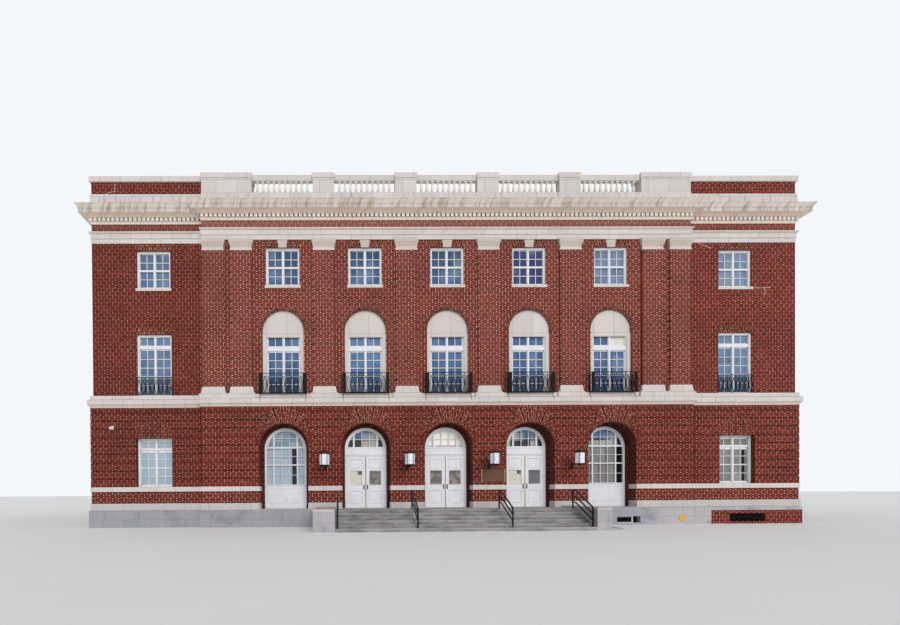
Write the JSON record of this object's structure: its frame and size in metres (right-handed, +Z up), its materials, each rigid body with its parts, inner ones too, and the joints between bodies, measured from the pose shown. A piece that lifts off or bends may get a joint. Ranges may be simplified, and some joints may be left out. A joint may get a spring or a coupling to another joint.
{
  "type": "courthouse",
  "caption": "Brick courthouse with stone trim, arched entrance doors that swing, pilasters, iron balconies, a deep cornice and a balustrade.",
  "frame": {"origin": "on the ground under the front wall, on the building's centre line", "axes": "+Z up, -Y out of the front, +X to the right when facing the front"},
  "size_m": [39.12, 29.35, 18.75],
  "materials": {
    "brick": "matte",
    "stone": "matte",
    "step_stone": "matte",
    "white_wood": "satin",
    "glass": "gloss",
    "iron": "satin",
    "floor": "matte",
    "roofing": "matte"
  },
  "bodies": {
    "building": {"arched_windows": "white_wood", "architrave": "stone", "balconies": "iron", "balusters": "stone", "balustrade_plinth": "stone", "balustrade_rail": "stone", "basement_brick": "brick", "belt_course": "stone", "brick_band": "brick", "brick_frieze": "brick", "cheek_blocks": "step_stone", "cornice": "stone", "door_frames": "white_wood", "door_hinges": "iron", "entrance_arches": "brick", "entrance_piers": "brick", "entrance_steps": "step_stone", "floors": "floor", "french_windows": "white_wood", "ground_back_wall": "brick", "ground_side_walls": "brick", "ground_windows": "white_wood", "ground_wing_walls": "brick", "handrails": "iron", "inner_jambs": "brick", "lanterns": "iron", "parapet_base": "stone", "parapet_coping": "stone", "parapet_panels": "brick", "pedestals": "stone", "pilaster_shafts": "brick", "pilaster_stones": "stone", "roof": "roofing", "sash_windows": "white_wood", "stone_base": "stone", "stone_ledge": "stone", "upper_back_wall": "brick", "upper_front_wall": "brick", "upper_side_walls": "brick", "upper_wing_walls": "brick", "window_glass": "glass", "window_stones": "stone"},
    "door_left_left": {"door_left_left_leaf": "white_wood", "door_left_left_pane": "glass"},
    "door_left_right": {"door_left_right_leaf": "white_wood", "door_left_right_pane": "glass"},
    "door_middle_left": {"door_middle_left_leaf": "white_wood", "door_middle_left_pane": "glass"},
    "door_middle_right": {"door_middle_right_leaf": "white_wood", "door_middle_right_pane": "glass"},
    "door_right_left": {"door_right_left_leaf": "white_wood", "door_right_left_pane": "glass"},
    "door_right_right": {"door_right_right_leaf": "white_wood", "door_right_right_pane": "glass"}
  },
  "joints": [
    {"name": "door_left_left_swing", "type": "hinge", "parent": "building", "child": "door_left_left", "pos_m": [-5.407, 0.3477, 0.962], "axis": [0, 0, -1], "range_deg": [0, 90]},
    {"name": "door_left_right_swing", "type": "hinge", "parent": "building", "child": "door_left_right", "pos_m": [-3.333, 0.3477, 0.962], "axis": [0, 0, 1], "range_deg": [0, 90]},
    {"name": "door_middle_left_swing", "type": "hinge", "parent": "building", "child": "door_middle_left", "pos_m": [-1.037, 0.3477, 0.962], "axis": [0, 0, -1], "range_deg": [0, 90]},
    {"name": "door_middle_right_swing", "type": "hinge", "parent": "building", "child": "door_middle_right", "pos_m": [1.037, 0.3477, 0.962], "axis": [0, 0, 1], "range_deg": [0, 90]},
    {"name": "door_right_left_swing", "type": "hinge", "parent": "building", "child": "door_right_left", "pos_m": [3.333, 0.3477, 0.962], "axis": [0, 0, -1], "range_deg": [0, 90]},
    {"name": "door_right_right_swing", "type": "hinge", "parent": "building", "child": "door_right_right", "pos_m": [5.407, 0.3477, 0.962], "axis": [0, 0, 1], "range_deg": [0, 90]}
  ]
}
